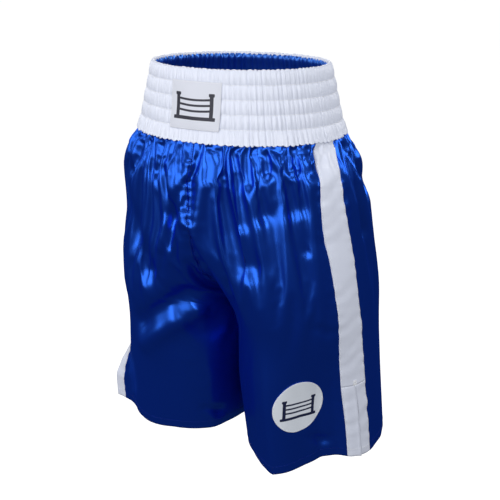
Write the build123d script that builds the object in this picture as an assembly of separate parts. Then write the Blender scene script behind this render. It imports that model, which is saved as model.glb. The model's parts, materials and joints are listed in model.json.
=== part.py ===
"""Satin boxing shorts with a shirred elastic waistband, side stripes and side vents.

Millimetres. The origin is the centre of the waist opening, at the waistband's top edge. +Z is up, +X is the
wearer's left and -Y is the front. The shorts hang from the waist, so everything lies below the origin, and the
legs hang a little behind it, as they do on a standing figure.

Each cloth panel runs from waistband to hem in one piece on the real garment. Here it is two solids, one above
and one below the thigh line, because the legs swing there: the hip solid stays with the waist and the leg solid
swings with the leg. The wedge between them is the room that the folding cloth takes up.
"""

import os
from math import cos, radians, sin, sqrt, tan

from build123d import *

# --- Driving dimensions -------------------------------------------------------------------------------------
BAND_HEIGHT = 90.0
WAIST_TOP = (124.0, 104.0)  # half width and half depth of the relaxed waist at its top edge
WAIST_LOW = (146.0, 118.0)  # the same where the waistband meets the panels
GARMENT_LENGTH = 550.0
THIGH_Y = 36.0  # place and height of the line about which the legs swing, level with the crotch
THIGH_Z = -335.0

# Outer outlines, as (height, centre x, centre y, half width, half depth)
HIP_OUTLINE = [
    (-BAND_HEIGHT, 0.0, 0.0, 144.0, 116.0),
    (-165.0, 0.0, 4.0, 179.0, 135.0),
    (-230.0, 0.0, 9.0, 186.0, 140.0),
    (-290.0, 0.0, 14.0, 190.0, 136.0),
    (THIGH_Z, 0.0, 19.0, 191.0, 132.0),
]
LEG_OUTLINE = [(THIGH_Z, 96.0, 23.0, 93.0, 127.0), (-GARMENT_LENGTH, 102.0, 47.0, 94.0, 126.0)]
INSEAM_Y = 32.0

SWING_FORWARD = 18.0  # degrees that a leg swings forward and back from the thigh line
SWING_BACK = 12.0
SWING_ROOM = 1.5  # degrees of clearance beyond each end of the swing
THIGH_GAP = 2.0  # vertical gap at the swing line, where the cloth only turns

CLOTH = 1.2  # one layer of satin with its seam allowance
LINING = 0.8
ELASTIC = 1.5
LAYER_GAP = 0.2
THREAD = 0.6
FACING_GAP = 0.4  # between a vent facing and the panel that it is hinged to

CHANNELS = 5  # elastic channels in the waistband, parted by the rows of stitching
CHANNEL_PITCH = BAND_HEIGHT / CHANNELS
ELASTIC_WIDTH = 15.0

# The side stripe's centre line and half width, as (height, y, half width), gathered narrower at the waistband
STRIPE_LINE = [(-BAND_HEIGHT, -28.0, 16.0), (-200.0, -42.0, 20.0), (-GARMENT_LENGTH, 10.0, 25.0)]
VENT_HEIGHT = 120.0
VENT_SLIT = 1.2
VENT_TOP_Z = -GARMENT_LENGTH + VENT_HEIGHT
BAR_TACK = (8.0, 3.0)  # width and height

LABEL_SIZE = (74.0, 60.0)
LABEL_CENTRE_Z = -45.0
BADGE_RADIUS = 38.0
BADGE_CENTRE = (138.0, -79.0, -444.0)
BADGE_AZIMUTH = 35.0  # direction that the badge faces, in degrees from the front towards the outer side
HEM_DEPTH = 12.0

SADDLE_HALF_WIDTH = 12.0  # of the cloth that runs under the crotch, each side of the centre seam
SADDLE_Y = 12.0
SADDLE_TOP_Z = -225.0
SADDLE_DROP = 103.0
SADDLE_REACH = 145.0  # half depth of the saddle, which runs into the front and back walls

BIG = 1000.0


# --- Shells -------------------------------------------------------------------------------------------------
def section_at(outline, z):
    """Centre x, centre y, half width and half depth of an outline between its first and last section."""
    (z0, *top), (z1, *low) = outline[0], outline[-1]
    share = (z - z0) / (z1 - z0)
    return [a + share * (b - a) for a, b in zip(top, low)]


def elliptic_solid(outline, offset):
    """A solid through an outline's elliptic sections, grown by offset."""
    sections = [
        Plane(origin=(x, y, z)) * Ellipse(half_width + offset, half_depth + offset)
        for z, x, y, half_width, half_depth in outline
    ]
    return loft(sections, ruled=len(outline) == 2)


def shell(outline, outside, thickness):
    """A wall of that thickness whose outer face stands off the outline by outside."""
    return elliptic_solid(outline, outside) - elliptic_solid(outline, outside - thickness)


def band_outline(top_z, low_z):
    """The waistband's cone between two heights."""
    cone = [(0.0, 0.0, 0.0, *WAIST_TOP), (-BAND_HEIGHT, 0.0, 0.0, *WAIST_LOW)]
    return [(z, *section_at(cone, z)) for z in (top_z, low_z)]


def region(x=(-BIG, BIG), y=(-BIG, BIG), z=(-BIG, BIG)):
    """A box between the given limits, used to cut a piece out of a shell."""
    size = [high - low for low, high in (x, y, z)]
    middle = [(high + low) / 2 for low, high in (x, y, z)]
    return Pos(*middle) * Box(*size)


def side_profile(points):
    """A prism along X through a closed outline of (y, z) points."""
    return extrude(Plane.YZ * make_face(Polyline(*points, close=True)), BIG, both=True)


def thigh_side(above):
    """The space above or below the thigh wedge, for cutting a hip or a leg solid."""
    front, back = (radians((swing + SWING_ROOM) / 2) for swing in (SWING_FORWARD, SWING_BACK))
    way = 1 if above else -1
    front_end = (-BIG, way * BIG * tan(front))
    back_end = (BIG, way * BIG * tan(back))
    space = side_profile([(0, 0), back_end, (BIG, way * 3 * BIG), (-BIG, way * 3 * BIG), front_end])
    return Pos(0, THIGH_Y, THIGH_Z + way * THIGH_GAP / 2) * space


def stripe_zone(front_edge, rear_edge):
    """The space between two lines along the stripe, each a function of the stripe's half width there."""
    top, hip, hem = STRIPE_LINE
    below = (2 * hem[0] - hip[0], 2 * hem[1] - hip[1], 2 * hem[2] - hip[2])
    stations = [(0.0, top[1], top[2]), top, hip, below]
    front = [(y + front_edge(half), z) for z, y, half in stations]
    rear = [(y + rear_edge(half), z) for z, y, half in reversed(stations)]
    return side_profile(front + rear)


def before(zone_edge):
    """The space in front of a line along the stripe."""
    return stripe_zone(lambda half: -BIG, zone_edge)


def behind(zone_edge):
    """The space behind a line along the stripe."""
    return stripe_zone(zone_edge, lambda half: BIG)


def saddle():
    """The left half of the cloth under the crotch: a U from the front wall to the back wall."""
    def half_ellipse(shrink):
        return Ellipse(SADDLE_REACH - shrink, SADDLE_DROP - shrink)

    ring = Plane.YZ * Pos(SADDLE_Y, SADDLE_TOP_Z) * (half_ellipse(0) - half_ellipse(CLOTH))
    strip = extrude(ring, SADDLE_HALF_WIDTH) & region(z=(-BIG, SADDLE_TOP_Z))
    return strip & elliptic_solid(HIP_OUTLINE, 0.0)


# --- Waistband ----------------------------------------------------------------------------------------------
def waistband():
    """The cover, the lining, the elastic bands between them, the rows of stitching and the front label."""
    cover = shell(band_outline(0.0, -BAND_HEIGHT), 0.0, CLOTH)
    rim_depth = CLOTH + ELASTIC + LINING + 2 * LAYER_GAP
    rim = shell(band_outline(0.0, -CLOTH), 0.0, rim_depth)
    pieces = {"waistband_cover": cover + rim}

    elastic_out = -CLOTH - LAYER_GAP
    lining_out = elastic_out - ELASTIC - LAYER_GAP
    pieces["waistband_lining"] = shell(band_outline(-CLOTH - LAYER_GAP, -BAND_HEIGHT), lining_out, LINING)
    for i in range(CHANNELS):
        middle = -(i + 0.5) * CHANNEL_PITCH
        limits = (middle + ELASTIC_WIDTH / 2, middle - ELASTIC_WIDTH / 2)
        pieces[f"elastic_band_{i + 1}"] = shell(band_outline(*limits), elastic_out, ELASTIC)

    thread_out = LAYER_GAP + THREAD
    rows = [-(i + 1) * CHANNEL_PITCH for i in range(CHANNELS - 1)]
    pieces["waistband_stitching"] = Compound(
        [shell(band_outline(z + THREAD / 2, z - THREAD / 2), thread_out, THREAD).solid() for z in rows]
    )

    width, height = LABEL_SIZE
    label_out = thread_out + LAYER_GAP + LINING
    label_limits = (LABEL_CENTRE_Z + height / 2, LABEL_CENTRE_Z - height / 2)
    label_shell = shell(band_outline(*label_limits), label_out, LINING)
    pieces["waistband_label"] = label_shell & region(x=(-width / 2, width / 2), y=(-BIG, 0))
    return pieces


# --- The left half of the panels ----------------------------------------------------------------------------
def left_hip_panels():
    """Front panel, back panel and side stripe above the thigh line, each panel with its half of the saddle."""
    hips = shell(HIP_OUTLINE, 0.0, CLOTH) & thigh_side(above=True)
    half = hips & region(x=(0, BIG))
    under = saddle()
    front = (half & before(lambda half: -half - LAYER_GAP)) + (under & region(y=(-BIG, SADDLE_Y - LAYER_GAP)))
    back = (half & behind(lambda half: half + LAYER_GAP)) + (under & region(y=(SADDLE_Y + LAYER_GAP, BIG)))
    seam_gap = Pos(LAYER_GAP, 0, 0)
    return {
        "left_front_panel_hip": seam_gap * front,
        "left_back_panel_hip": seam_gap * back,
        "left_stripe_hip": half & stripe_zone(lambda half: -half, lambda half: half),
    }


def left_leg_pieces():
    """Front panel, back panel, side stripe and vent facings of the left leg, below the thigh line."""
    leg = shell(LEG_OUTLINE, 0.0, CLOTH) & thigh_side(above=False)
    middle_x = LEG_OUTLINE[0][1]
    side = leg & region(x=(middle_x, BIG))
    inner = leg & region(x=(-BIG, middle_x))
    front = (side & before(lambda half: -half - LAYER_GAP)) + (inner & region(y=(-BIG, INSEAM_Y - LAYER_GAP)))
    back = (side & behind(lambda half: half + LAYER_GAP)) + (inner & region(y=(INSEAM_Y + LAYER_GAP, BIG)))
    vent = region(z=(-BIG, VENT_TOP_Z - LAYER_GAP))
    front_facing = stripe_zone(lambda half: -half + FACING_GAP, lambda half: -VENT_SLIT / 2)
    rear_facing = stripe_zone(lambda half: VENT_SLIT / 2, lambda half: half - FACING_GAP)
    return {
        "left_front_panel_leg": front,
        "left_back_panel_leg": back,
        "left_stripe_leg": side & stripe_zone(lambda half: -half, lambda half: half) & region(z=(VENT_TOP_Z, BIG)),
        "left_vent_front_facing": side & front_facing & vent,
        "left_vent_rear_facing": side & rear_facing & vent,
    }


def left_leg_trim():
    """The thread that turns up the hem, and the bar tack that closes the top of the vent."""
    thread = shell(LEG_OUTLINE, LAYER_GAP + THREAD, THREAD)
    outer_side = region(x=(LEG_OUTLINE[0][1], BIG))
    hem_z = -GARMENT_LENGTH + HEM_DEPTH
    hem = thread & region(z=(hem_z - THREAD / 2, hem_z + THREAD / 2))
    swept_by_facings = outer_side & stripe_zone(lambda half: -half - 3 * THREAD, lambda half: half + 3 * THREAD)
    tack_half_width = BAR_TACK[0] / 2
    tack_zone = stripe_zone(lambda half: -tack_half_width, lambda half: tack_half_width)
    tack_limits = region(z=(VENT_TOP_Z + THREAD, VENT_TOP_Z + THREAD + BAR_TACK[1]))
    return {
        "left_hem_stitching": hem - swept_by_facings,
        "left_vent_bar_tack": thread & outer_side & tack_zone & tack_limits,
    }


def rise_stitching():
    """The seam thread down the middle of the front and of the back, from waistband to thigh line."""
    thread = shell(HIP_OUTLINE, LAYER_GAP + THREAD, THREAD) & thigh_side(above=True)
    line = thread & region(x=(-THREAD / 2, THREAD / 2), z=(-BIG, -BAND_HEIGHT - CLOTH))
    return {"rise_stitching": Compound(line.solids())}


def badge():
    """The round badge on the front and outer side of the left leg."""
    skin = shell(LEG_OUTLINE, LAYER_GAP + LINING, LINING)
    outwards = (sin(radians(BADGE_AZIMUTH)), -cos(radians(BADGE_AZIMUTH)), 0)
    disc = Plane(origin=BADGE_CENTRE, z_dir=outwards) * Cylinder(BADGE_RADIUS, BADGE_RADIUS)
    return {"leg_badge": skin & disc}


# --- The whole garment --------------------------------------------------------------------------------------
def shorts():
    """Every sub-part by node name."""
    left = left_hip_panels() | left_leg_pieces() | left_leg_trim()
    right = {name.replace("left", "right"): mirror(piece, Plane.YZ) for name, piece in left.items()}
    return waistband() | left | right | rise_stitching() | badge()


def vent_seam(way, z):
    """The point at height z where the left front (way -1) or rear (way 1) vent facing meets its panel."""
    _, (hip_z, hip_y, hip_half), (hem_z, hem_y, hem_half) = STRIPE_LINE
    share = (z - hip_z) / (hem_z - hip_z)
    seam_y = hip_y + share * (hem_y - hip_y) + way * (hip_half + share * (hem_half - hip_half))
    x, y, half_width, half_depth = section_at(LEG_OUTLINE, z)
    return (x + half_width * sqrt(1 - ((seam_y - y) / half_depth) ** 2), seam_y, z)


if __name__ == "__main__":
    os.makedirs("parts", exist_ok=True)
    for node, piece in shorts().items():
        export_step(piece, f"parts/{node}.step")
    for name, way in (("front", -1), ("rear", 1)):
        ends = (vent_seam(way, VENT_TOP_Z), vent_seam(way, -GARMENT_LENGTH))
        print(f"{name} vent facing turns about the line", [[round(value, 3) for value in end] for end in ends])
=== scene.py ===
"""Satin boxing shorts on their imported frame: simulated panels, shirred waistband, stripes, vents and trim.

Lengths are in metres in the part's own frame: +Z up, -Y the front, +X the wearer's left, and the origin in
the middle of the waist opening. The cloth is a grid, with rows down the garment and columns round it.
"""
import json
import math

import bpy
import numpy as np
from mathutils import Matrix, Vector
from mathutils.bvhtree import BVHTree


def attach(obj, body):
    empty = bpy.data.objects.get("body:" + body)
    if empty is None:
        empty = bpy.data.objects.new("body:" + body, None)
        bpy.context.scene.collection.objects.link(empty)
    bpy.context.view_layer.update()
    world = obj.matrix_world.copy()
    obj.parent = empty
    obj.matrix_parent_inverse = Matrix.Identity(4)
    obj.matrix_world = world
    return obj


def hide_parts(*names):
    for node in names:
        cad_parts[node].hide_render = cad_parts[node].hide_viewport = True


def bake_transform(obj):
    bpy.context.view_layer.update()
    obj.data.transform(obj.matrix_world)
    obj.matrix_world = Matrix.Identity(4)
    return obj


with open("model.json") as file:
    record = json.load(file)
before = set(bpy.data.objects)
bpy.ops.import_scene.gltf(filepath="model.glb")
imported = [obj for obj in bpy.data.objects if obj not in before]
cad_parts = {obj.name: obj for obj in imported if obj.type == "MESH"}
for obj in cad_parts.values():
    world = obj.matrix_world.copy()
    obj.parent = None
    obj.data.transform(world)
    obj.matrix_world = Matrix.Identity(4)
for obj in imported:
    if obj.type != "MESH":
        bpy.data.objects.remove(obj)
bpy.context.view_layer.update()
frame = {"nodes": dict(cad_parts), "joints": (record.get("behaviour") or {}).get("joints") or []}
nodes = frame["nodes"]

MM = 0.001
SIDES = {"left": 1, "right": -1}

# --- Garment shape ------------------------------------------------------------------------------------------
BAND_HEIGHT = 0.090  # the panels leave the waistband at its lower edge
CLOTH_TOP = -0.084  # the panels start a little above it, hidden by the waistband's flounce
PINCH_TOP = -0.215  # where the front and back start to turn in towards the crotch
CROTCH = -0.330
HEM = -0.550
VENT_TOP = -0.430
HEM_DEPTH = 0.012  # from the edge of a hem to its row of stitches, and what is folded up inside

# Stations down the garment: height, outer half width, half depth, centre y
HIP_STATIONS = np.array([
    (-0.084, 0.1420, 0.1140, 0.000), (-0.100, 0.1520, 0.1190, 0.000), (-0.125, 0.1680, 0.1270, 0.001),
    (-0.165, 0.1790, 0.1350, 0.004), (-0.230, 0.1860, 0.1400, 0.009), (-0.290, 0.1895, 0.1370, 0.014),
    (-0.330, 0.1905, 0.1330, 0.019)])
# Leg stations: height, centre x, half width, half depth, centre y
LEG_STATIONS = np.array([
    (-0.330, 0.09525, 0.09525, 0.1330, 0.019), (-0.360, 0.0960, 0.0940, 0.1290, 0.024),
    (-0.420, 0.0975, 0.0940, 0.1270, 0.032), (-0.550, 0.1020, 0.0940, 0.1260, 0.047)])
# The side stripe's front and rear edge: height, y of each
STRIPE_STATIONS = np.array([
    (-0.084, -0.040, -0.010), (-0.120, -0.055, -0.026), (-0.165, -0.062, -0.031), (-0.230, -0.059, -0.021),
    (-0.290, -0.053, -0.010), (-0.350, -0.043, 0.003), (-0.420, -0.031, 0.015), (-0.485, -0.020, 0.025),
    (-0.550, -0.012, 0.034)])
# Flat width of the cloth over the width of the finished shape, which is what makes it gather and fold
FULLNESS = np.array([
    (-0.084, 1.24), (-0.100, 1.26), (-0.125, 1.22), (-0.165, 1.16), (-0.230, 1.09), (-0.330, 1.035),
    (-0.420, 1.012), (-0.550, 1.005)])

ROWS = 97
FRONT_COLUMNS, STRIPE_COLUMNS, BACK_COLUMNS = 54, 8, 60


def at(stations, z):
    """Every column of a station table at height z, by a smooth curve through the stations."""
    heights, values = stations[::-1, 0], stations[::-1, 1:]
    slopes = np.gradient(values, heights, axis=0)
    z = np.clip(np.asarray(z, float), heights[0], heights[-1])
    k = np.clip(np.searchsorted(heights, z) - 1, 0, len(heights) - 2)
    h = heights[k + 1] - heights[k]
    t = (z - heights[k]) / h
    h, t = np.asarray(h)[..., None], np.asarray(t)[..., None]
    return ((2 * t**3 - 3 * t**2 + 1) * values[k] + (t**3 - 2 * t**2 + t) * h * slopes[k]
            + (3 * t**2 - 2 * t**3) * values[k + 1] + (t**3 - t**2) * h * slopes[k + 1])


def section(z):
    """Centre x, centre y, half width, half depth and end angle of the left half's outline at height z."""
    if z > CROTCH:
        width, depth, cy = at(HIP_STATIONS, z)
        t = np.clip((PINCH_TOP - z) / (PINCH_TOP - CROTCH), 0, 1)
        end_sine = max(math.cos(math.pi / 2 * t), 0.0) ** 0.75
        q = math.sqrt(1 - end_sine**2)
        return q * width / (1 + q), cy, width / (1 + q), depth, math.pi - math.acos(q)
    cx, width, depth, cy = at(LEG_STATIONS, z)
    return cx, cy, width, depth, math.pi


def outline_row(z):
    """Points of one row of the left half, from the front seam round the outer side to the back seam."""
    cx, cy, a, b, end = section(z)
    edges = at(STRIPE_STATIONS, z)
    marks = [-end, *(math.asin(np.clip((y - cy) / b, -1, 1)) for y in edges), end]
    points = []
    for lo, hi, count in zip(marks[:-1], marks[1:], (FRONT_COLUMNS, STRIPE_COLUMNS, BACK_COLUMNS)):
        fine = np.linspace(lo, hi, 400)
        x, y = cx + a * np.cos(fine), cy + b * np.sin(fine)
        run = np.concatenate([[0], np.cumsum(np.hypot(np.diff(x), np.diff(y)))])
        spots = np.linspace(0, run[-1], count + 1)[(1 if points else 0):]
        points.append(np.stack([np.interp(spots, run, x), np.interp(spots, run, y)], -1))
    row = np.concatenate(points)
    return np.column_stack([row, np.full(len(row), z)])


SLIT = FRONT_COLUMNS + STRIPE_COLUMNS // 2  # the column at the vent's slit, which is doubled


def row_heights():
    """Row heights, closest at the gathers, with rows exactly at the crotch, the vent's top and the hem."""
    knots = [CLOTH_TOP, -0.150, CROTCH, VENT_TOP, HEM]
    counts = [18, 34, 19]
    counts.append(ROWS - 1 - sum(counts))
    parts = [np.linspace(a, b, n + 1)[:-1] for a, b, n in zip(knots, knots[1:], counts)]
    return np.concatenate([*parts, [HEM]])


class Grid:
    """The cloth grid of both halves: vertex numbers by side, row and column, shared along the seams."""

    def __init__(self):
        self.heights = row_heights()
        self.columns = FRONT_COLUMNS + STRIPE_COLUMNS + BACK_COLUMNS + 2  # the slit's column is there twice
        self.index = {}
        self.start = []
        left = [np.insert(outline_row(z), SLIT, outline_row(z)[SLIT], axis=0) for z in self.heights]
        for side, sign in SIDES.items():
            self.index[side] = np.zeros((ROWS, self.columns), int)
            for r, (z, row) in enumerate(zip(self.heights, left)):
                for c, point in enumerate(row):
                    self.index[side][r, c] = self._vertex(side, r, c, z, point * (sign, 1, 1))
        self.start = np.array(self.start)

    def _vertex(self, side, r, c, z, point):
        first, last = c == 0, c == self.columns - 1
        if c == SLIT + 1 and z >= VENT_TOP - 1e-9:
            return self.index[side][r, SLIT]
        if side == "right" and z >= CROTCH - 1e-9 and (first or last):
            return self.index["left"][r, c]
        if last and z <= CROTCH + 1e-9:
            return self.index[side][r, 0]
        self.start.append(point)
        return len(self.start) - 1

    def faces(self, side, rows, columns):
        """Faces between two rows and two columns, as vertex numbers, wound to face outwards."""
        made = []
        for r in range(*rows):
            for c in range(*columns):
                if c == SLIT:
                    continue
                ix = self.index[side]
                quad = [ix[r, c], ix[r + 1, c], ix[r + 1, c + 1], ix[r, c + 1]]
                quad = list(dict.fromkeys(quad))
                if len(quad) > 2:
                    made.append(quad if side == "left" else quad[::-1])
        return made

    def row_at(self, z):
        return int(np.argmin(abs(self.heights - z)))


grid = Grid()


def mesh_object(name, points, faces, smooth=True):
    """A new mesh object in the scene."""
    mesh = bpy.data.meshes.new(name)
    mesh.from_pydata([tuple(p) for p in points], [], [tuple(int(i) for i in f) for f in faces])
    mesh.validate()
    mesh.update()
    if smooth:
        mesh.shade_smooth()
    piece = bpy.data.objects.new(name, mesh)
    bpy.context.scene.collection.objects.link(piece)
    return piece


def quads(rows, columns, closed=False, turned=False):
    """Faces between rows of points: closed joins each row's ends, and turned winds them the other way."""
    faces = []
    for r in range(rows - 1):
        for c in range(columns if closed else columns - 1):
            n = (c + 1) % columns
            here, below = r * columns, (r + 1) * columns
            faces.append([here + c, here + n, below + n, below + c] if turned
                         else [here + c, below + c, below + n, here + n])
    return faces


def distances(path):
    """How far along a path each of its points is."""
    return np.concatenate([[0], np.cumsum(np.linalg.norm(np.diff(path, axis=0), axis=1))])


def unit(vectors):
    """The same directions, each one long."""
    return vectors / np.linalg.norm(vectors, axis=-1, keepdims=True)


# --- Cloth simulation ---------------------------------------------------------------------------------------
SIM_FRAMES = 40
DRAW_IN_FRAMES = 14
HELD_SHARE = 0.20  # how firmly the cloth below the waistband is drawn to the worn shape


def outward(points):
    """The horizontal direction out of the base outline at each point of the grid."""
    normals = np.zeros_like(points)
    for side, sign in SIDES.items():
        for r, z in enumerate(grid.heights):
            cx, cy, a, b, _ = section(z)
            ix = grid.index[side][r]
            x, y = points[ix, 0] - sign * cx, points[ix, 1] - cy
            flat = np.column_stack([x / a**2, y / b**2, 0 * x])
            normals[ix] = flat / np.linalg.norm(flat, axis=1)[:, None]
    return normals


def rest_shape(points):
    """The flat cut as a shape: each row as long round as its cut, and a little short down the hips."""
    z = points[:, 2]
    fullness = at(FULLNESS, z)[:, 0]
    cy = np.array([section(h)[1] for h in z])
    rest_z = z + 0.02 * (CLOTH_TOP - np.maximum(z, CROTCH))
    return np.column_stack([points[:, 0] * fullness, cy + (points[:, 1] - cy) * fullness, rest_z])


def waves(run, lengths, seed):
    """A wandering wave along a distance: sines whose phases drift, so that no two crests are alike."""
    dice = np.random.default_rng(seed)
    total = np.zeros_like(run)
    for length in lengths:
        drift = sum(dice.uniform(0.5, 1.3) * np.sin(run / (length * k) + dice.uniform(0, 6.3))
                    for k in (0.61, 1.07))
        total += dice.uniform(0.6, 1.0) * np.sin(2 * math.pi * run / length + drift)
    return total / len(lengths) ** 0.5


def seeded(points):
    """The start shape with the gathers under the waistband already begun, so that they fall unevenly."""
    moved = points.copy()
    out = outward(points)
    for side in SIDES:
        ix = grid.index[side]
        run = np.cumsum(np.linalg.norm(np.diff(points[ix[8]], axis=0, prepend=points[ix[8]][:1]), axis=1))
        seed = 11 if side == "left" else 23
        small = waves(run, (0.019, 0.027), seed)
        middle = waves(run, (0.036, 0.051), seed + 1)
        broad = waves(run, (0.085, 0.12), seed + 2)
        edge = np.clip(np.minimum(run, run[-1] - run) / 0.012, 0, 1)
        for r, z in enumerate(grid.heights):
            depth = CLOTH_TOP - z
            wave = 0.0034 * math.exp(-depth / 0.028) * small
            wave = wave + 0.0060 * (1 - math.exp(-depth / 0.012)) * math.exp(-depth / 0.060) * middle
            wave = wave + 0.0035 * (1 - math.exp(-depth / 0.05)) * math.exp(-depth / 0.16) * broad
            moved[ix[r]] += out[ix[r]] * (wave * edge)[:, None]
    return moved


def body_form(points):
    """The body that the cloth hangs on, a little inside the garment's finished shape."""
    inset = np.interp(-points[:, 2], (0.084, 0.120, 0.200, 0.330, 0.550), (0.003, 0.006, 0.008, 0.007, 0.006))
    return points - outward(points) * inset[:, None]


def simulate(points, faces):
    """Draws the flat cut in to the waistband over a body of the garment's shape, and lets it settle."""
    body = mesh_object("body_form", body_form(points), faces)
    body.modifiers.new("Collision", "COLLISION")
    body.collision.thickness_outer = 0.001
    body.collision.cloth_friction = 0.5
    cloth = mesh_object("cloth", rest_shape(points), faces)
    cloth.shape_key_add(name="cut")
    worn = cloth.shape_key_add(name="worn")
    worn.data.foreach_set("co", seeded(points).ravel())
    for frame_number, share in ((1, 0.0), (DRAW_IN_FRAMES, 1.0)):
        worn.value = share
        worn.keyframe_insert("value", frame=frame_number)
    held = cloth.vertex_groups.new(name="held")
    top = {int(i) for side in SIDES for i in grid.index[side][:2].ravel()}
    held.add(sorted(top), 1.0, "REPLACE")
    held.add(sorted(set(range(len(points))) - top), HELD_SHARE, "REPLACE")
    modifier = cloth.modifiers.new("Cloth", "CLOTH")
    cut = modifier.settings
    cut.quality = 5
    cut.mass = 0.02
    cut.tension_stiffness = cut.compression_stiffness = 40
    cut.shear_stiffness = 10
    cut.bending_stiffness = 4.0
    cut.tension_damping = cut.compression_damping = cut.shear_damping = 3
    cut.bending_damping = 0.5
    cut.air_damping = 1.0
    cut.vertex_group_mass = "held"
    cut.effector_weights.gravity = 0.35
    for frame_number, firmness in ((DRAW_IN_FRAMES, 1.0), (DRAW_IN_FRAMES + 6, 0.12)):
        cut.pin_stiffness = firmness
        cloth.keyframe_insert('modifiers["Cloth"].settings.pin_stiffness', frame=frame_number)
    modifier.collision_settings.distance_min = 0.0015
    modifier.collision_settings.collision_quality = 2
    modifier.collision_settings.use_self_collision = False
    modifier.point_cache.frame_start, modifier.point_cache.frame_end = 1, SIM_FRAMES
    scene = bpy.context.scene
    scene.frame_start, scene.frame_end = 1, SIM_FRAMES
    for f in range(1, SIM_FRAMES + 1):
        scene.frame_set(f)
    shown = cloth.evaluated_get(bpy.context.evaluated_depsgraph_get())
    result = np.zeros(len(points) * 3)
    shown.data.vertices.foreach_get("co", result)
    for used in (cloth, body):
        bpy.data.objects.remove(used)
    scene.frame_set(1)
    return result.reshape(-1, 3)


# --- Cloth pieces -------------------------------------------------------------------------------------------
FRONT_END, STRIPE_END = FRONT_COLUMNS, FRONT_COLUMNS + STRIPE_COLUMNS + 1
LAST_ROW, LAST_COLUMN = ROWS - 1, grid.columns - 1
VENT_ROW = grid.row_at(VENT_TOP)
all_faces = [f for side in SIDES for f in grid.faces(side, (0, LAST_ROW), (0, LAST_COLUMN))]


def point_normals(points, faces):
    """Outward normals of a mesh's points."""
    normals = np.zeros_like(points)
    for f in faces:
        p = points[list(f[:3])]
        direction = np.cross(p[1] - p[0], p[2] - p[0])
        normals[list(f)] += direction
    length = np.linalg.norm(normals, axis=1)
    return normals / np.maximum(length, 1e-12)[:, None]


def ramp(value, low, high):
    """0 below low and 1 above high, with a smooth turn between them."""
    t = np.clip((value - low) / (high - low), 0, 1)
    return t * t * (3 - 2 * t)


def calmed(points):
    """Takes folds out of the stripes, which are firmer, doubled cloth, and of the legs, which hang smooth."""
    moved = points.copy()
    for side in SIDES:
        ix = grid.index[side]
        column = np.arange(grid.columns)
        near = np.maximum(np.maximum(FRONT_END - column, column - STRIPE_END), 0)
        below_band = ramp(CLOTH_TOP - grid.heights, 0.0, 0.05)
        firm = 0.80 * np.exp(-((near / 4.0) ** 2))[None, :] * below_band[:, None]
        smooth = 0.55 * ramp(-grid.heights, 0.30, 0.42)[:, None]
        keep = (1 - firm) * (1 - smooth)
        base = grid.start[ix]
        moved[ix] = base + (points[ix] - base) * keep[:, :, None]
    corner = np.array([-0.857, -0.515, 0])  # the right hip hangs in a little at its front corner
    depth = -points[:, 2]
    share = ramp(outward(grid.start) @ corner, 0.25, 1.0) * ramp(depth, 0.12, 0.21)
    share *= 1 - ramp(depth, 0.33, 0.45)
    return moved - 10 * MM * share[:, None] * corner


# The leg openings as they hang: degrees round the leg from its front to its outer side, share of the radius
LEFT_PLAN = np.array([(-60, 1.0), (-43, 1.0), (-26, 0.965), (-16, 0.985), (-6, 1.04), (1, 1.105), (9, 1.03),
                      (18, 0.89), (31, 0.79), (45, 0.83), (57, 0.955), (68, 1.0)])
RIGHT_PLAN = np.array([(-75, 1.0), (-55, 1.04), (-42, 1.10), (-30, 1.05), (-12, 0.97), (10, 0.97), (35, 0.97),
                       (58, 0.93), (80, 0.97), (95, 1.0)])
# Height of the hem over its lowest level, in millimetres, by the same angle
LEFT_HEM = np.array([(-180, 0), (-90, 4), (-40, 2), (1, -2), (15, 3), (31, 8), (50, 10), (75, 3), (180, 0)])
RIGHT_HEM = np.array([(-180, 6), (-90, 12), (-40, 13), (10, 12), (60, 13), (100, 8), (180, 6)])


def hung(points):
    """Gives the leg openings their corners and their hem heights, and lets the right vent gape."""
    moved = points.copy()
    for side, sign, plan, hem in (("left", 1, LEFT_PLAN, LEFT_HEM), ("right", -1, RIGHT_PLAN, RIGHT_HEM)):
        ix = grid.index[side]
        rows = np.flatnonzero(grid.heights < CROTCH + 0.001)
        for r in rows:
            z = grid.heights[r]
            cx, _, _, cy = at(LEG_STATIONS, z)
            ids = ix[r]
            x, y = points[ids, 0] * sign - cx, points[ids, 1] - cy
            angle = np.degrees(np.arctan2(x, -y))
            share = float(ramp(-z, 0.33, 0.46))
            ratio = 1 + (np.interp(angle, plan[:, 0], plan[:, 1]) - 1) * share
            column = np.arange(grid.columns)
            if side == "right":
                lean = 0.006 * np.exp(-(((column - SLIT) / 8) ** 2)) * float(ramp(-z, 0.34, 0.44))
                flare = np.clip((column - FRONT_END + 9) / (SLIT - FRONT_END + 9), 0, 1) ** 1.6
                flare = flare * (column <= SLIT) * float(ramp(-z, 0.415, 0.52))
                x, y = x + lean + 0.024 * flare, y - 0.6 * lean - 0.034 * flare
            else:
                parted = 0.0014 * float(ramp(-z, 0.43, 0.46))
                front, rear = 1.0 * (column == SLIT), 1.0 * (column == SLIT + 1)
                x, y = x + parted * front, y + parted * (rear - front)
            moved[ids, 0] = sign * (cx + x * ratio)
            moved[ids, 1] = cy + y * ratio
            lift = np.interp(angle, hem[:, 0], hem[:, 1]) * MM * float(ramp(-z, 0.40, 0.56))
            moved[ids, 2] = points[ids, 2] + lift
    return moved


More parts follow.
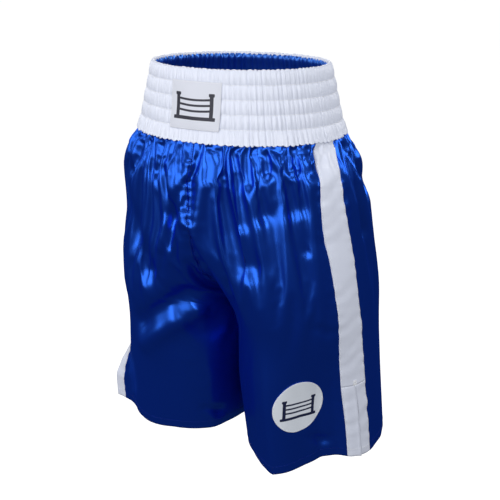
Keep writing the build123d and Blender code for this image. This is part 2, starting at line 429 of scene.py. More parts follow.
# Folds, listed by the view that shows them: height over the cloth and half width at the start, the
# same at the end, and the line that the fold runs along in that view as (x or y, z), all in millimetres
FOLDS = {
    "front": [
        (-4.5, 6, -10.5, 17, [(38, -104), (48, -158), (60, -200), (74, -232), (79, -243)]),
        (-4.5, 5, -6, 6, [(55, -96), (64, -132), (70, -168), (74, -190)]),
        (-6, 5, -6, 9, [(74, -90), (76, -112), (78, -134)]),
        (-4.5, 4, -6, 6, [(92, -92), (97, -108), (99, -122)]),
        (-1.5, 6, -4.5, 9, [(84, -136), (92, -160), (97, -176)]),
        (-1.5, 8, -4.5, 12, [(106, -118), (120, -140), (132, -168)]),
        (-1.5, 3, -4.5, 5, [(138, -188), (143, -204), (147, -222)]),
        (-4.5, 5, -7.5, 7, [(114, -92), (122, -106), (126, -118)]),
        (-4.5, 5, -7.5, 7, [(134, -92), (142, -110), (146, -122)]),
        (3, 4, 4.5, 5, [(-22, -98), (-27, -124), (-29, -150), (-36, -190), (-50, -236)]),
        (-1.5, 8, -10.5, 18, [(-112, -190), (-100, -226), (-84, -258), (-78, -274)]),
        (-12, 13, -9, 13, [(-24, -308), (-62, -332), (-106, -364)]),
        (10.5, 13, 7.5, 15, [(-26, -336), (-62, -362), (-104, -396)]),
        (-6, 6, -7.5, 10, [(-78, -98), (-98, -122), (-118, -146)]),
        (-4.5, 5, -6, 8, [(2, -132), (-14, -160), (-32, -188)]),
        (-4.5, 4, -4.5, 5, [(-2, -165), (-16, -182), (-30, -200)]),
        (-4.5, 5, -7.5, 8, [(-48, -96), (-56, -118), (-60, -136)])],
    "left": [
        (-4.5, 5, -4.5, 6, [(-74, -326), (-60, -338)]),
        (-3, 5, -6, 8, [(-52, -500), (-30, -512)]),
        (-4.5, 7, -9, 13, [(4, -96), (20, -124), (36, -152)]),
        (-3, 5, -6, 8, [(0, -150), (4, -190), (10, -214)]),
        (-3, 6, -6, 8, [(44, -98), (60, -130), (66, -160)])],
    "back": [
        (-4.5, 6, -9, 12, [(30, -98), (44, -150), (52, -200)]),
        (-4.5, 6, -9, 12, [(-36, -98), (-48, -146), (-66, -190)]),
        (-6, 7, -9, 10, [(84, -98), (92, -130), (96, -160)]),
        (-6, 7, -9, 10, [(-90, -98), (-100, -134), (-104, -164)]),
        (-1.5, 10, -9, 18, [(70, -210), (84, -256), (88, -280)]),
        (-1.5, 10, -9, 18, [(-66, -214), (-84, -258), (-92, -286)])],
    "right": [
        (-4.5, 7, -9, 13, [(2, -96), (18, -128), (30, -156)]),
        (-3, 6, -6, 8, [(48, -98), (62, -136), (66, -170)])],
}


def folded(points):
    """The cloth with the listed folds, pressed in as ridges and hollows along their lines."""
    moved = points.copy()
    normals = point_normals(points, all_faces)
    views = {"front": (0, -normals[:, 1]), "left": (1, normals[:, 0]),
             "back": (0, normals[:, 1]), "right": (1, -normals[:, 0])}
    for view, (height_start, wide_start, height_end, wide_end, line) in (
            (view, fold) for view, folds in FOLDS.items() for fold in folds):
        across, facing = views[view]
        spot = points[:, (across, 2)] / MM
        ends = np.array(line, float)
        run = distances(ends)
        near, share = np.full(len(moved), 1e9), np.zeros(len(moved))
        for k, (a, b) in enumerate(zip(ends[:-1], ends[1:])):
            t = np.clip(((spot - a) @ (b - a)) / ((b - a) @ (b - a)), 0, 1)
            away = np.linalg.norm(spot - a - t[:, None] * (b - a), axis=1)
            closer = away < near
            near = np.where(closer, away, near)
            share = np.where(closer, (run[k] + t * (run[k + 1] - run[k])) / run[-1], share)
        wide = wide_start + (wide_end - wide_start) * share
        height = height_start + (height_end - height_start) * share
        weight = np.exp(-((near / wide) ** 2)) * np.clip(facing * 4 - 0.4, 0, 1)
        weight *= np.clip((CLOTH_TOP - 0.006 - points[:, 2]) / 0.012, 0, 1)
        moved += normals * (height * MM * weight)[:, None]
    return moved


def puckered(points):
    """Puckers the cloth along the rise, the inner legs and the edges of the stripes."""
    moved = points.copy()
    normals = point_normals(points, all_faces)
    dice = np.random.default_rng(5)
    column = np.arange(grid.columns)
    depth = ramp(CLOTH_TOP - grid.heights, 0.015, 0.05)
    # The column of each seam, how many columns its puckers reach, and their height in millimetres
    for seam, reach, height in ((0, 3.2, 1.8), (LAST_COLUMN, 3.2, 1.4),
                                (FRONT_END, 2.0, 0.9), (STRIPE_END, 2.0, 0.9)):
        pucker = dice.uniform(-1, 1, len(grid.heights)) * depth * height * MM
        near = np.exp(-(((column - seam) / reach) ** 2))
        for side in SIDES:
            ix = grid.index[side]
            moved[ix] += normals[ix] * (pucker[:, None] * near[None, :])[:, :, None]
    for c in range(FRONT_END, STRIPE_END + 1):  # the stripes crease aslant
        crease = waves(-grid.heights + 0.0022 * (c - FRONT_END), (0.023, 0.034), 61) * depth * 0.5 * MM
        for side in SIDES:
            ids = grid.index[side][:, c]
            moved[ids] += normals[ids] * crease[:, None]
    return moved


settled = simulate(grid.start, all_faces)
cloth = puckered(folded(hung(calmed(settled))))
cloth_normals = point_normals(cloth, all_faces)


def piece_from(name, points, faces):
    """A mesh of only the points that its faces use."""
    used = sorted({int(i) for f in faces for i in f})
    place = {old: new for new, old in enumerate(used)}
    return mesh_object(name, points[used], [[place[int(i)] for i in f] for f in faces])


def applied(piece):
    """The piece with its modifiers turned into mesh."""
    shown = bpy.data.meshes.new_from_object(piece.evaluated_get(bpy.context.evaluated_depsgraph_get()))
    piece.modifiers.clear()
    old, piece.data = piece.data, shown
    shown.name = piece.name
    bpy.data.meshes.remove(old)
    return piece


def fabric(piece, outer, inner, thickness=0.0006, rounds=1):
    """Smooths a sheet, gives it its thickness inwards, and its two materials."""
    piece.data.materials.append(outer)
    piece.data.materials.append(inner)
    smooth = piece.modifiers.new("smooth", "SUBSURF")
    smooth.levels = smooth.render_levels = rounds
    smooth.boundary_smooth = "PRESERVE_CORNERS"
    thick = piece.modifiers.new("thick", "SOLIDIFY")
    thick.thickness, thick.offset = thickness, -1.0
    thick.material_offset = thick.material_offset_rim = 1
    return applied(piece)


# --- Materials ----------------------------------------------------------------------------------------------
def material(name, color, roughness, *, spec=0.5, tint=(1, 1, 1), ior=1.5, anisotropic=0.0, sheen=0.0):
    """A cloth material."""
    made = bpy.data.materials.new(name)
    made.use_nodes = True
    shader = made.node_tree.nodes["Principled BSDF"]
    shader.inputs["Base Color"].default_value = (*color, 1)
    shader.inputs["Roughness"].default_value = roughness
    shader.inputs["Specular IOR Level"].default_value = spec
    shader.inputs["Specular Tint"].default_value = (*tint, 1)
    shader.inputs["IOR"].default_value = ior
    shader.inputs["Anisotropic"].default_value = anisotropic
    shader.inputs["Sheen Weight"].default_value = sheen
    return made


def textured(made, kind, scale, strength, distance, stretch=(1, 1, 1), **settings):
    """Adds a bump from a texture in the piece's own coordinates to a material."""
    tree = made.node_tree
    coordinates = tree.nodes.new("ShaderNodeTexCoord")
    mapping = tree.nodes.new("ShaderNodeMapping")
    mapping.inputs["Scale"].default_value = stretch
    texture = tree.nodes.new(kind)
    texture.inputs["Scale"].default_value = scale
    for key, value in settings.items():
        if key in texture.inputs:
            texture.inputs[key].default_value = value
        else:
            setattr(texture, key, value)
    bump = tree.nodes.new("ShaderNodeBump")
    bump.inputs["Strength"].default_value = strength
    bump.inputs["Distance"].default_value = distance
    tree.links.new(coordinates.outputs["Object"], mapping.inputs["Vector"])
    tree.links.new(mapping.outputs["Vector"], texture.inputs["Vector"])
    tree.links.new(texture.outputs["Fac"], bump.inputs["Height"])
    tree.links.new(bump.outputs["Normal"], tree.nodes["Principled BSDF"].inputs["Normal"])


def printed(made, ink):
    """Adds an ink colour where the piece's emblem attribute, a distance in millimetres, is below zero."""
    tree = made.node_tree
    shader = tree.nodes["Principled BSDF"]
    read = tree.nodes.new("ShaderNodeAttribute")
    read.attribute_name = "emblem"
    edge = tree.nodes.new("ShaderNodeMapRange")
    edge.interpolation_type = "SMOOTHSTEP"
    edge.inputs["From Min"].default_value = -0.12
    edge.inputs["From Max"].default_value = 0.12
    mix = tree.nodes.new("ShaderNodeMix")
    mix.data_type = "RGBA"
    mix.inputs[6].default_value = (*ink, 1)
    mix.inputs[7].default_value = shader.inputs["Base Color"].default_value
    tree.links.new(read.outputs["Fac"], edge.inputs["Value"])
    tree.links.new(edge.outputs["Result"], mix.inputs["Factor"])
    tree.links.new(mix.outputs[2], shader.inputs["Base Color"])


FINE, LOOSE, LENGTHWISE = (900, 0.05, 0.0002), (900, 0.10, 0.0002), (1, 1, 0.25)  # weaves, and their stretch
blue_satin = material("blue_satin", (0.0004, 0.0080, 0.185), 0.32, spec=1.0, tint=(0.035, 0.19, 1.0), ior=3.0,
                      anisotropic=0.4)
textured(blue_satin, "ShaderNodeTexNoise", *FINE, LENGTHWISE)
blue_reverse = material("blue_satin_reverse", (0.001, 0.010, 0.13), 0.6, spec=0.4, tint=(0.2, 0.4, 1.0))
textured(blue_reverse, "ShaderNodeTexNoise", *LOOSE)
white_satin = material("white_satin", (0.72, 0.755, 0.875), 0.36, spec=0.7, anisotropic=0.3, sheen=0.05)
textured(white_satin, "ShaderNodeTexNoise", *FINE, LENGTHWISE)
white_reverse = material("white_satin_reverse", (0.62, 0.64, 0.70), 0.7, spec=0.3)
textured(white_reverse, "ShaderNodeTexNoise", *LOOSE)
blue_lining = material("blue_lining", (0.002, 0.024, 0.28), 0.32, spec=1.0, tint=(0.10, 0.32, 1.0), ior=2.6)
textured(blue_lining, "ShaderNodeTexNoise", 700, 0.10, 0.0002)
elastic = material("elastic", (0.78, 0.78, 0.76), 0.85, spec=0.2, sheen=0.2)
textured(elastic, "ShaderNodeTexWave", 400, 0.5, 0.0004, bands_direction="Z")
white_thread = material("white_thread", (0.82, 0.83, 0.86), 0.55, spec=0.4, sheen=0.2)
blue_thread = material("blue_thread", (0.002, 0.014, 0.20), 0.5, spec=0.5, tint=(0.4, 0.6, 1.0))
label_twill = material("label_twill", (0.66, 0.68, 0.76), 0.45, spec=0.5)
badge_twill = material("badge_twill", (0.70, 0.74, 0.80), 0.5, spec=0.5)
for twill, ink in ((label_twill, (0.012, 0.012, 0.030)), (badge_twill, (0.006, 0.012, 0.055))):
    textured(twill, "ShaderNodeTexWave", 700, 0.12, 0.0002, bands_direction="DIAGONAL")
    printed(twill, ink)


# --- Panels, stripes and vent facings -----------------------------------------------------------------------
def cut_out(name, side, rows, columns, outer, inner):
    """A piece of the cloth between two rows and two columns of the grid."""
    return fabric(piece_from(name, cloth, grid.faces(side, rows, columns)), outer, inner)


panels = {}
# Each panel's rows and columns of the grid
CUTS = {"front_panel": ((0, LAST_ROW), (0, FRONT_END)),
        "back_panel": ((0, LAST_ROW), (STRIPE_END, LAST_COLUMN)),
        "stripe": ((0, VENT_ROW), (FRONT_END, STRIPE_END)),
        "front_facing": ((VENT_ROW, LAST_ROW), (FRONT_END, SLIT)),
        "rear_facing": ((VENT_ROW, LAST_ROW), (SLIT + 1, STRIPE_END))}
for side in SIDES:
    for name, (rows, columns) in CUTS.items():
        outer, inner = (blue_satin, blue_reverse) if name.endswith("panel") else (white_satin, white_reverse)
        panels[f"{side}_{name}"] = cut_out(f"{side}_{name}_cloth", side, rows, columns, outer, inner)


def skin(*names):
    """A search tree of the outer cloth of these panels."""
    points, faces = [], []
    for name in names:
        mesh = panels[name].data
        start = len(points)
        points += [v.co.copy() for v in mesh.vertices]
        faces += [[start + i for i in f.vertices] for f in mesh.polygons if f.material_index == 0]
    return BVHTree.FromPolygons(points, faces)


# --- Stitching ----------------------------------------------------------------------------------------------
trim = {}


def thread(name, paths, shade, *, length=0.0024, gap=0.0008, radius=0.00032, sides=6):
    """Adds separate stitches along paths to the trim, each a short capsule whose ends dive into the cloth.

    A path is a pair of arrays: its points on the cloth and the direction out of the cloth at each."""
    points, faces = [], []
    ring = np.arange(sides) * 2 * math.pi / sides
    for path, out in paths:
        run = distances(path)
        for start in np.arange(0.3 * gap, run[-1] - length, length + gap):
            a, b = (np.array([np.interp(spot, run, path[:, k]) for k in range(3)])
                    for spot in (start, start + length))
            up = unit(np.array([np.interp(start + length / 2, run, out[:, k]) for k in range(3)]))
            forward = (b - a) / max(np.linalg.norm(b - a), 1e-9)
            sideways = np.cross(forward, up)
            sideways /= max(np.linalg.norm(sideways), 1e-9)
            base = len(points)
            for t, size, lift in ((0, 0.45, -0.2), (0.18, 1, 0.35), (0.82, 1, 0.35), (1, 0.45, -0.2)):
                centre = a + (b - a) * t + up * radius * lift
                for angle in ring:
                    spoke = math.cos(angle) * sideways + math.sin(angle) * up
                    points.append(centre + radius * size * spoke)
            for k in range(3):
                for j in range(sides):
                    n = (j + 1) % sides
                    faces.append([base + k * sides + j, base + k * sides + n, base + (k + 1) * sides + n,
                                  base + (k + 1) * sides + j])
            faces.append([base + j for j in range(sides)][::-1])
            faces.append([base + 3 * sides + j for j in range(sides)])
    trim[name] = mesh_object(name, points, faces)
    trim[name].data.materials.append(shade)


def on_skin(tree, path, out, lift=0.0001):
    """A path moved onto the cloth of a search tree, with the cloth's own direction out of it."""
    spots, ups = [], []
    for point, up in zip(path, out):
        found, normal, _, _ = tree.find_nearest(Vector(point))
        normal = normal if normal.dot(Vector(up)) > 0 else Vector(up)
        spots.append(np.array(found) + lift * np.array(normal))
        ups.append(np.array(normal))
    return np.array(spots), np.array(ups)


def grid_path(side, rows, column, shift=0.0):
    """A path down a column of the grid, moved sideways by shift metres towards the next column."""
    ix = grid.index[side][rows[0]:rows[1] + 1, column]
    beside = grid.index[side][rows[0]:rows[1] + 1, column + (1 if shift > 0 else -1)]
    return cloth[ix] + unit(cloth[beside] - cloth[ix]) * abs(shift), cloth_normals[ix]


def row_path(side, row, columns, rise):
    """A path along a row of the grid, moved up the cloth by rise metres."""
    low = grid.index[side][row, columns[0]:columns[1] + 1]
    high = grid.index[side][row - 6, columns[0]:columns[1] + 1]
    return cloth[low] + unit(cloth[high] - cloth[low]) * rise, cloth_normals[low]


# --- Waistband ----------------------------------------------------------------------------------------------
BAND_TOP_SIZE, BAND_LOW_SIZE = (0.124, 0.104), (0.146, 0.118)
# Depths of the rim, of the rows of stitches between the tiers, and of the lower edge
TIERS = np.array([0.0, 0.018, 0.036, 0.054, 0.072, BAND_HEIGHT])
LABEL = (0.037, 0.015, 0.075)  # half width, top and bottom depth


def band_size(depth):
    """Half width and half depth of the waistband at depths under the rim."""
    return [top + (low - top) * (depth / BAND_HEIGHT) for top, low in zip(BAND_TOP_SIZE, BAND_LOW_SIZE)]


def band_point(angle, depth, out):
    """Points on the waistband's outer surface at angles round it and depths under the rim, moved outwards."""
    a, b = band_size(depth)
    nx, ny = np.cos(angle) / a, np.sin(angle) / b
    size = np.hypot(nx, ny)
    x, y = a * np.cos(angle) + nx / size * out, b * np.sin(angle) + ny / size * out
    return np.stack([x, y, -depth + 0 * out], -1)


def pleats(count, jitter, seed, columns):
    """Uneven pleats round the band: 0 in the creases and up to 1 on the crests, which are rounder."""
    dice = np.random.default_rng(seed)
    places = (np.arange(count) + dice.uniform(-jitter, jitter, count)) / count
    heights = dice.uniform(0.55, 1.0, count)
    spot = np.linspace(0, 1, columns, endpoint=False)
    places = np.sort(places)
    k = np.searchsorted(places, spot) % count
    before, after = places[k - 1], places[k]
    width = (after - before) % 1
    t = ((spot - before) % 1) / np.maximum(width, 1e-6)
    return np.abs(np.sin(np.pi * t)) ** 0.55 * heights[k]


def waistband_cover():
    """The shirred outer layer: five puckered tiers, a ruffled rim and a free edge, turned in at both."""
    columns = 1080
    angle = np.linspace(0, 2 * math.pi, columns, endpoint=False) - math.pi / 2
    depths = [0.0040, 0.0020, 0.0003, -0.0004, -0.0002, 0.0010]  # turned in over the rim
    outs = [-0.0046, -0.0043, -0.0034, -0.0020, -0.0006, 0.0002]
    for lo, hi in zip(TIERS[:-1], TIERS[1:]):
        inner = np.linspace(lo, hi, 16)[1:]
        depths += list(inner)
        outs += [None] * len(inner)
    depths += [0.0908, 0.0905, 0.0870]
    outs += [0.0012, -0.0004, -0.0006]
    tier_pleats = [pleats(118, 0.30, 31 + k, columns) for k in range(5)]
    shared = pleats(118, 0.30, 77, columns)
    slant = waves(angle * 0.13, (0.09, 0.15), 5) * 0.9
    fine = waves(np.arange(columns) * 0.00078, (0.0031, 0.0043), 8)
    rows = []
    for depth, out in zip(depths, outs):
        if out is None or depth > 0.0905:
            tier = min(int(np.searchsorted(TIERS, depth - 1e-6)) - 1, 4)
            t = np.clip((depth - TIERS[tier]) / (TIERS[tier + 1] - TIERS[tier]), 0, 1)
            middle = math.sin(math.pi * t) if tier < 4 else math.sin(math.pi * min(t, 0.62))
            own = 0.55 * tier_pleats[tier] + 0.45 * shared
            shift = np.round(slant * (t - 0.5) * 3).astype(int)
            own = own[(np.arange(columns) + shift) % columns]
            at_row = 0.7 * shared + 0.3 * own
            relief = middle * 0.0024 * own + (1 - middle) * 0.0016 * at_row
            puff = 0.0007 * middle ** 0.5 - 0.0008
            if tier == 4:
                puff += 0.0016 * t
                relief = relief * (1 + 0.4 * t)
            place = puff + relief + 0.00020 * fine
        else:
            place = out + 0.0009 * (shared - 0.5) + 0.0002 * fine
        rows.append((depth, np.full(columns, 1.0) * place))
    points = []
    for depth, place in rows:
        ripple = np.zeros(columns)
        if depth < 0.004:
            ripple = 0.0016 * (tier_pleats[0] - 0.6) * (1 - depth / 0.004)
        if depth > 0.080:
            ripple = -0.0024 * (tier_pleats[4] - 0.6) * (depth - 0.080) / 0.010
        nominal = band_point(angle, depth, place)
        under_label = np.clip((LABEL[0] + 0.001 - abs(nominal[:, 0])) / 0.003, 0, 1) * (nominal[:, 1] < 0)
        under_label *= np.clip((depth - LABEL[1] + 0.001) / 0.002, 0, 1)
        under_label *= np.clip((LABEL[2] - depth) / 0.002, 0, 1)
        place = place * (1 - under_label) + np.minimum(place, 0.0008) * under_label
        nominal = band_point(angle, depth, place)
        nominal[:, 2] += ripple
        points.append(nominal)
    faces = quads(len(points), columns, closed=True)
    piece = mesh_object("waistband_cover_cloth", np.concatenate(points), faces)
    piece.data.materials.append(white_satin)
    return piece


def waistband_lining():
    """The pleated inner layer, from just under the rim to the panels."""
    columns = 900
    angle = np.linspace(0, 2 * math.pi, columns, endpoint=False)
    folds = pleats(96, 0.28, 51, columns)
    more = pleats(150, 0.3, 52, columns)
    points = []
    for depth in (0.0020, *np.linspace(0.0035, 0.0880, 30)):
        t = np.clip((depth - 0.0020) / 0.005, 0, 1)
        relief = (0.0008 + 0.0042 * t) * (0.8 * folds + 0.2 * more)
        channel = 0.0004 * math.sin(math.pi * ((depth / 0.018) % 1)) ** 0.7
        points.append(band_point(angle, depth, -0.0034 - relief - channel))
    faces = quads(len(points), columns, closed=True, turned=True)
    piece = mesh_object("waistband_lining_cloth", np.concatenate(points), faces)
    piece.data.materials.append(blue_lining)
    return piece


cover = waistband_cover()
lining = waistband_lining()
cover_skin = BVHTree.FromObject(cover, bpy.context.evaluated_depsgraph_get())
row_stitches = []
for depth in TIERS[1:5]:
    turn = np.linspace(0, 2 * math.pi, 721) - math.pi / 2
    path = band_point(turn, np.full(len(turn), depth), np.full(len(turn), 0.0004))
    up = band_point(turn, np.full(len(turn), depth), np.full(len(turn), 0.0104)) - path
    hidden = (abs(path[:, 0]) < LABEL[0]) & (path[:, 1] < 0)
    keep = np.flatnonzero(~hidden)
    row_stitches.append(on_skin(cover_skin, path[keep], up[keep]))


# --- Label and badge ----------------------------------------------------------------------------------------
def bar(x, y, cx, cy, half_width, half_height, rounding=0.0):
    """Distance in millimetres to a rounded bar, negative inside it."""
    dx, dy = abs(x - cx) - half_width + rounding, abs(y - cy) - half_height + rounding
    return np.hypot(np.maximum(dx, 0), np.maximum(dy, 0)) + np.minimum(np.maximum(dx, dy), 0) - rounding


def ring_emblem(x, y):
    """Distance to a plain sign of a boxing ring: corner posts, three ropes and the floor, in millimetres."""
    parts = [bar(x, y, 0, -13.2, 26, 1.9, 0.8)]
    for side in (-1, 1):
        parts.append(bar(x, y, side * 21.0, -1.0, 2.2, 11.8, 0.8))
        parts.append(bar(x, y, side * 21.0, 11.6, 3.4, 1.7, 0.8))
    for height in (7.0, 1.2, -4.6):
        sag = 1.1 * (1 - (x / 21) ** 2)
        parts.append(bar(x, y + sag, 0, height, 20, 1.15, 0.4))
    return np.min(parts, axis=0)


def patch(name, spots, sheet_x, sheet_y, faces, emblem, shade, thickness=0.0008):
    """A sewn patch with its printed emblem held as an attribute."""
    piece = mesh_object(name, spots, faces)
    held = piece.data.attributes.new("emblem", "FLOAT", "POINT")
    held.data.foreach_set("value", emblem(sheet_x, sheet_y).astype(np.float32))
    piece.data.materials.append(shade)
    thick = piece.modifiers.new("thick", "SOLIDIFY")
    thick.thickness, thick.offset = thickness, -1.0
    return applied(piece)


def waistband_label():
    """The sewn label on the middle of the front, following the band and lightly pulled in by it."""
    nx, ny = 221, 181
    x, z = np.meshgrid(np.linspace(-LABEL[0], LABEL[0], nx), np.linspace(-LABEL[1], -LABEL[2], ny))
    angle = -np.arccos(np.clip(x / band_size(-z)[0], -1, 1))
    edge = np.minimum(LABEL[0] - abs(x), np.minimum(-LABEL[1] - z, z + LABEL[2]))
    hold = 1 - np.exp(-np.maximum(edge, 0) / 0.004)
    ripple = np.sin(x / 0.0068 + z / 0.03) * np.cos(z / 0.017) * (0.35 + 0.65 * hold)
    out = 0.0019 + 0.0007 * hold + 0.0006 * ripple
    points = band_point(angle.ravel(), -z.ravel(), out.ravel())
    points[:, 0] = x.ravel() + 0.0005 * np.sin(z.ravel() / 0.011)
    middle = (LABEL[1] + LABEL[2]) / 2
    return patch("waistband_label_patch", points, x.ravel() / MM, (z.ravel() + middle) / MM, quads(ny, nx),
                 lambda u, v: ring_emblem(u / 1.18, v / 1.18) * 1.18, label_twill), points, (ny, nx)


BADGE_CENTRE, BADGE_RADIUS = (0.138, -0.073, -0.448), 0.038


def leg_badge(tree):
    """The round badge, laid on the left leg's front panel."""
    centre, facing, _, _ = tree.find_nearest(Vector(BADGE_CENTRE))
    facing = Vector((facing.x, facing.y, 0)).normalized()
    right = Vector((0, 0, 1)).cross(facing)
    rings, turns = 70, 220
    points, u, v = [], [], []
    for r in range(rings + 1):
        for k in range(turns):
            radius = BADGE_RADIUS * max(r, 0.02) / rings
            x, y = radius * math.cos(k * 2 * math.pi / turns), radius * math.sin(k * 2 * math.pi / turns)
            above = centre + right * x + Vector((0, 0, 1)) * y + facing * 0.03
            hit, normal, _, _ = tree.ray_cast(above, -facing, 0.08)
            points.append(np.array(hit + facing * 0.0011))
            u.append(x / MM)
            v.append(y / MM)
    faces = quads(rings + 1, turns, closed=True)
    piece = patch("leg_badge_patch", np.array(points), np.array(u), np.array(v), faces,
                  lambda x, y: ring_emblem(x / 1.08, y / 1.08 + 0.8) * 1.08, badge_twill)
    inside = np.array(points[-4 * turns:-3 * turns] + points[-4 * turns:-4 * turns + 1])
    return piece, inside, np.tile(np.array(facing), (len(inside), 1))


label, label_points, (label_rows, label_columns) = waistband_label()
badge, badge_path, badge_out = leg_badge(skin("left_front_panel"))


# --- Trim ---------------------------------------------------------------------------------------------------
def label_edge(shift):
    """A closed path just inside the label's edge, and the direction out of the label."""
    grid_points = label_points.reshape(label_rows, label_columns, 3)
    s, last_row, last_column = shift, label_rows - 1 - shift, label_columns - 1 - shift
    path = np.concatenate([grid_points[s, s:last_column], grid_points[s:last_row, last_column],
                           grid_points[last_row, last_column:s:-1], grid_points[last_row:s - 1:-1, s]])
    return path, unit(path * (1, 1, 0))


thread("waistband_stitches", row_stitches, white_thread)
sewn_round = {"waistband_label_stitches": label_edge(4), "leg_badge_stitches": (badge_path, badge_out)}
for name, path in sewn_round.items():
    thread(name, [path], white_thread, length=0.0018, gap=0.0006, radius=0.00022)
for side in SIDES:
    body = skin(*(f"{side}_{name}" for name in CUTS))
    edges = []
    for column, way in ((FRONT_END, 1), (STRIPE_END, -1)):
        edges.append(on_skin(body, *grid_path(side, (3, LAST_ROW - 1), column, way * 0.0016)))
    thread(f"{side}_stripe_stitches", edges, white_thread, radius=0.00026)
    hems = [on_skin(body, *row_path(side, LAST_ROW, columns, HEM_DEPTH))
            for columns in ((0, FRONT_END - 1), (STRIPE_END + 1, LAST_COLUMN))]
    thread(f"{side}_hem_stitches", hems, blue_thread, radius=0.00028)
    for name, columns in (("front", (FRONT_END, SLIT)), ("rear", (SLIT + 1, STRIPE_END))):
        path = on_skin(body, *row_path(side, LAST_ROW, columns, HEM_DEPTH))
        thread(f"{side}_{name}_facing_stitches", [path], white_thread, radius=0.00026)
    vent_top = grid.index[side][VENT_ROW]
    slit = vent_top[SLIT]
    across = unit(cloth[vent_top[SLIT + 1 + 2]] - cloth[vent_top[SLIT - 2]])
    tack = []
    for k in range(7):
        middle = cloth[slit] + np.array([0, 0, 0.0005 + 0.0011 * k])
        path = middle + np.linspace(-0.0041, 0.0041, 9)[:, None] * across
        tack.append(on_skin(body, path, np.tile(cloth_normals[slit], (9, 1)), 0.0003))
    thread(f"{side}_bar_tack_stitches", tack, white_thread, length=0.0066, gap=0.0004, radius=0.00045)
rise = []
crotch_row = grid.row_at(CROTCH)
both = skin(*(f"{side}_{name}" for side in SIDES for name in ("front_panel", "back_panel")))
for column, way in ((0, 1), (LAST_COLUMN, -1)):
    for side in SIDES:
        rise.append(on_skin(both, *grid_path(side, (2, crotch_row - 4), column, way * 0.0022)))
thread("rise_stitches", rise, blue_thread, radius=0.00030)


def hem_turn_up(side, name, columns, outer):
    """The strip of cloth folded up inside at the hem."""
    low, high = (grid.index[side][row, columns[0]:columns[1] + 1] for row in (LAST_ROW, LAST_ROW - 4))
    rise = unit(cloth[high] - cloth[low])
    points = []
    for k, depth in enumerate(np.linspace(0, HEM_DEPTH, 5)):
        inwards = 0.0007 + 0.0005 * math.sin(math.pi * min(1, k / 2)) if k else 0.0003
        points.append(cloth[low] + rise * depth - cloth_normals[low] * inwards)
    faces = quads(len(points), len(low), turned=True)
    faces = faces if side == "right" else [f[::-1] for f in faces]
    piece = mesh_object(f"{side}_{name}_turn_up", np.concatenate(points), faces)
    piece.data.materials.append(outer)
    return piece


turn_ups = {}
for side in SIDES:
    turn_ups[f"{side}_front_panel"] = hem_turn_up(side, "front_hem", (0, FRONT_END), blue_reverse)
    turn_ups[f"{side}_back_panel"] = hem_turn_up(side, "back_hem", (STRIPE_END, LAST_COLUMN), blue_reverse)
    turn_ups[f"{side}_front_facing"] = hem_turn_up(side, "front_facing", (FRONT_END, SLIT), white_reverse)
    turn_ups[f"{side}_rear_facing"] = hem_turn_up(side, "rear_facing", (SLIT + 1, STRIPE_END), white_reverse)


# --- Bodies and replaced parts ------------------------------------------------------------------------------
def bend_at_thigh(piece):
    """Bakes the piece's transform into its mesh."""
    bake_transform(piece)


def bend_at_facing(piece, side, name):
    """Works out the direction across the seam that the vent flap turns about, and bakes the piece's
    transform.
    """
    column, way = (FRONT_END, 1) if name == "front" else (STRIPE_END, -1)
    row = (VENT_ROW + LAST_ROW) // 2
    seam = cloth[grid.index[side][row, column]]
    inner = cloth[grid.index[side][row, column + 2 * way]]
    across = unit(inner - seam)
    hinge = next(j for j in frame["joints"] if j["name"] == f"{side}_{name}_vent_open")
    axis = np.array(hinge["axis"])
    across -= axis * (across @ axis)
    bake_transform(piece)


def declared(replaced):
    """Hides the imported parts that a piece replaces."""
    if replaced:
        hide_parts(*replaced)


# The flat cut of each panel
FLAT = {"front_panel": (0.30, 0.475), "back_panel": (0.36, 0.475), "stripe": (0.048, 0.352)}
for side in SIDES:
    for name, flat in FLAT.items():
        piece = panels[f"{side}_{name}"]
        bend_at_thigh(piece)
        finish = "white_satin" if name == "stripe" else "blue_satin"
        stands_for = [f"{side}_{name}_hip", f"{side}_{name}_leg"]
        declared(stands_for)
        if name != "stripe":
            strip = turn_ups[f"{side}_{name}"]
            bend_at_thigh(strip)
            declared([])
    for name in ("front", "rear"):
        piece, strip = panels[f"{side}_{name}_facing"], turn_ups[f"{side}_{name}_facing"]
        stitches = trim[f"{side}_{name}_facing_stitches"]
        for part in (piece, strip, stitches):
            bend_at_facing(part, side, name)
        stands_for = [f"{side}_vent_{name}_facing"]
        declared(stands_for)
        declared([])
        declared([])
    for name, node, finish in (("stripe_stitches", None, "white_thread"),
                               ("hem_stitches", "hem_stitching", "blue_thread"),
                               ("bar_tack_stitches", "vent_bar_tack", "white_thread")):
        piece = trim[f"{side}_{name}"]
        bend_at_thigh(piece)
        declared([f"{side}_{node}"] if node else [])
bend_at_thigh(badge)
bend_at_thigh(trim["leg_badge_stitches"])
declared(["leg_badge"])
declared([])
for piece, replaced, finish in ((cover, "waistband_cover", "white_satin"),
                                (lining, "waistband_lining", "blue_lining"),
                                (label, "waistband_label", "label_twill"),
                                (trim["waistband_stitches"], "waistband_stitching", "white_thread"),
                                (trim["waistband_label_stitches"], None, "white_thread"),
                                (trim["rise_stitches"], "rise_stitching", "blue_thread")):
    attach(piece, "hips")
    declared([replaced] if replaced else [])
for k in range(1, 6):
    mesh = nodes[f"elastic_band_{k}"].data
    mesh.materials.clear()
    mesh.materials.append(elastic)


# --- Studio -------------------------------------------------------------------------------------------------
scene = bpy.context.scene
scene.view_settings.view_transform = "Standard"


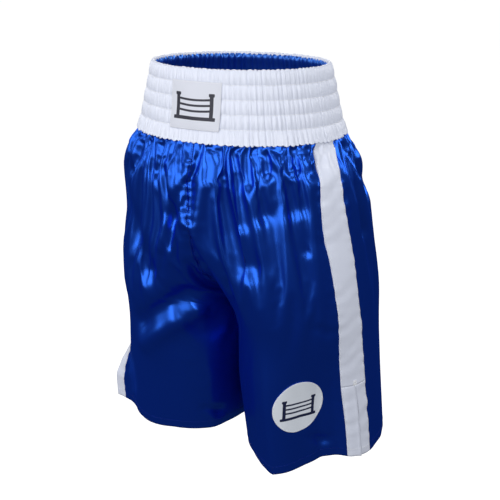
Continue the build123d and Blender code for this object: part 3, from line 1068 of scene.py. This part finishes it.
def plain(name, color, glow=0.0):
    """A matt material for the studio."""
    made = bpy.data.materials.new(name)
    made.use_nodes = True
    shader = made.node_tree.nodes["Principled BSDF"]
    shader.inputs["Base Color"].default_value = (*color, 1)
    shader.inputs["Roughness"].default_value = 0.9
    shader.inputs["Specular IOR Level"].default_value = 0.0
    shader.inputs["Emission Color"].default_value = (1, 1, 1, 1)
    shader.inputs["Emission Strength"].default_value = glow
    return made


floor = mesh_object("studio_floor", [(-60, -60, -0.95), (60, -60, -0.95), (60, 60, -0.95), (-60, 60, -0.95)],
                    [[0, 1, 2, 3]], smooth=False)
floor.data.materials.append(plain("studio_floor", (0.30, 0.30, 0.30), 0.92))
floor.visible_glossy = floor.visible_diffuse = False

world = bpy.data.worlds.new("studio")
scene.world = world
world.use_nodes = True
tree = world.node_tree
rays = tree.nodes.new("ShaderNodeLightPath")
shade = tree.nodes["Background"].outputs["Background"]
tree.nodes["Background"].inputs["Color"].default_value = (0.94, 0.96, 1.0, 1)
tree.nodes["Background"].inputs["Strength"].default_value = 0.36
for ray, strength in (("Is Glossy Ray", 0.07), ("Is Camera Ray", 1.0)):
    other = tree.nodes.new("ShaderNodeBackground")
    other.inputs["Color"].default_value = (1, 1, 1, 1)
    other.inputs["Strength"].default_value = strength
    choose = tree.nodes.new("ShaderNodeMixShader")
    tree.links.new(rays.outputs[ray], choose.inputs["Fac"])
    tree.links.new(shade, choose.inputs[1])
    tree.links.new(other.outputs["Background"], choose.inputs[2])
    shade = choose.outputs["Shader"]
tree.links.new(shade, tree.nodes["World Output"].inputs["Surface"])


def softbox(name, azimuth, elevation, distance, size, power, aim=(0, 0, -0.28)):
    """An area light, aimed at the garment from a direction round it (0 is in front) and above the horizon."""
    light = bpy.data.lights.new(name, "AREA")
    light.shape = "RECTANGLE"
    light.size, light.size_y = size
    light.energy = power
    lamp = bpy.data.objects.new(name, light)
    scene.collection.objects.link(lamp)
    az, el = math.radians(azimuth), math.radians(elevation)
    direction = Vector((math.sin(az) * math.cos(el), -math.cos(az) * math.cos(el), math.sin(el)))
    lamp.location = Vector(aim) + distance * direction
    lamp.rotation_euler = (Vector(aim) - lamp.location).to_track_quat("-Z", "Y").to_euler()
    return lamp


softbox("front", -18, 15, 2.6, (2.6, 1.5), 31)
softbox("key", 52, 28, 2.6, (1.5, 1.0), 19)
softbox("top", 10, 72, 2.4, (1.6, 0.8), 12)
softbox("right", -92, 20, 2.6, (2.0, 1.3), 16)
softbox("left", 140, 26, 2.6, (1.4, 0.9), 16)
softbox("back", 205, 30, 2.8, (1.4, 0.9), 12)

camera = bpy.data.cameras.new("camera")
camera.lens = 68.3
camera.sensor_width = 36.0
camera.dof.use_dof = False
viewer = bpy.data.objects.new("camera", camera)
scene.collection.objects.link(viewer)
CAMERA_AZIMUTH, CAMERA_PITCH, CAMERA_TURN = math.radians(31.15), math.radians(17.92), 0.010
viewer.location = (math.sin(CAMERA_AZIMUTH) * 1.2819, -math.cos(CAMERA_AZIMUTH) * 1.2819, 0.1482)
viewer.rotation_euler = (math.pi / 2 - CAMERA_PITCH, 0, CAMERA_AZIMUTH - CAMERA_TURN)
scene.camera = viewer
